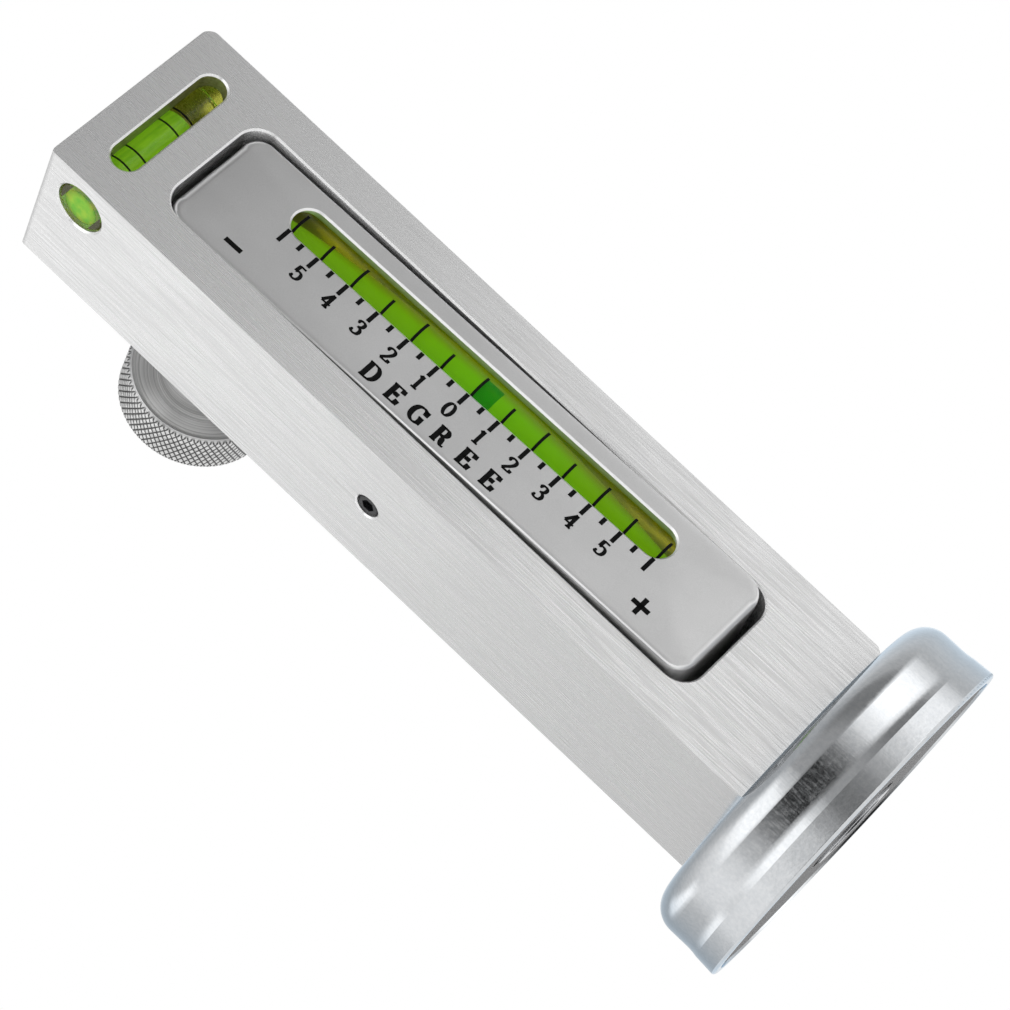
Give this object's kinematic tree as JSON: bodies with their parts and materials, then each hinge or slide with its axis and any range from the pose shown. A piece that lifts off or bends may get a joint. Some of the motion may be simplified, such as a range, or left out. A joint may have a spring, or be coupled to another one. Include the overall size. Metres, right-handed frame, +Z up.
{
  "type": "camber caster gauge",
  "caption": "Wheel camber and caster gauge: aluminium bar on a magnet cup, with a rocking scale plate holding a long bubble vial, a cross-level vial and a knurled zeroing knob.",
  "frame": {"origin": "centre of the magnet's contact face", "axes": "+Z up along the bar away from the magnet, -Y out of the face with the scale, +X to the right as the scale is looked at"},
  "size_m": [0.0598, 0.0626, 0.1514],
  "materials": {
    "bar_aluminium": "brushed along the bar, edges broken",
    "plate_aluminium": "fine satin with black engraved scale",
    "knob_steel": "turned, diamond knurled rim",
    "steel": "ground",
    "black_steel": "black oxide",
    "zinc_steel": "bright zinc plated, drawn",
    "ferrite": "ground dark grey ferrite",
    "acrylic": "clear, slightly yellow",
    "green_liquid": "clear green",
    "bubble": "clear",
    "brass": "turned",
    "nylon": "moulded"
  },
  "bodies": {
    "housing": {"body_bar": "bar_aluminium", "level_vial_tube": "acrylic", "level_vial_liquid": "green_liquid", "level_vial_plug": "acrylic", "pivot_pin": "steel", "pivot_set_screws": "black_steel", "thread_bush": "brass", "return_spring": "steel", "magnet_cup": "zinc_steel", "ring_magnet": "ferrite", "centre_pole": "steel", "magnet_screw": "black_steel", "lock_washer": "steel"},
    "rocker": {"scale_plate": "plate_aluminium", "camber_vial_tube": "acrylic", "camber_vial_liquid": "green_liquid", "camber_vial_plug": "acrylic"},
    "pad": {"push_pad": "nylon"},
    "adjuster": {"adjuster_knob": "knob_steel", "adjuster_stud": "steel", "knob_grub_screw": "black_steel"},
    "long_bubble": {"camber_bubble": "bubble"},
    "cross_bubble": {"level_bubble": "bubble"}
  },
  "joints": [
    {"name": "plate_tilt", "type": "hinge", "parent": "housing", "child": "rocker", "pos_m": [0, -0.0002, 0.0832], "axis": [1, 0, 0], "range_deg": [-0.53, 4.16], "deforming": ["return_spring"]},
    {"name": "adjuster_travel", "type": "slide", "parent": "housing", "child": "pad", "axis": [0, -1, 0], "range_m": [-0.00033, 0.00267]},
    {"name": "knob_turn", "type": "hinge", "parent": "pad", "child": "adjuster", "pos_m": [-0.00525, 0.0245, 0.12], "axis": [0, -1, 0], "range_deg": [-120, 960]},
    {"name": "camber_bubble_travel", "type": "hinge", "parent": "rocker", "child": "long_bubble", "pos_m": [0.0041, 0.33573, 0.07259], "axis": [-1, 0, 0], "range_deg": [-5.2, 5.7]},
    {"name": "level_bubble_travel", "type": "hinge", "parent": "housing", "child": "cross_bubble", "pos_m": [-0.0032, -0.0061, 0.027], "axis": [0, 1, 0], "range_deg": [-1.4, 1.4]}
  ],
  "couplings": [
    {"joint": "knob_turn", "follows": "adjuster_travel", "rad_per_m": 6283.2},
    {"joint": "plate_tilt", "follows": "adjuster_travel", "rad_per_m": 27.174}
  ]
}
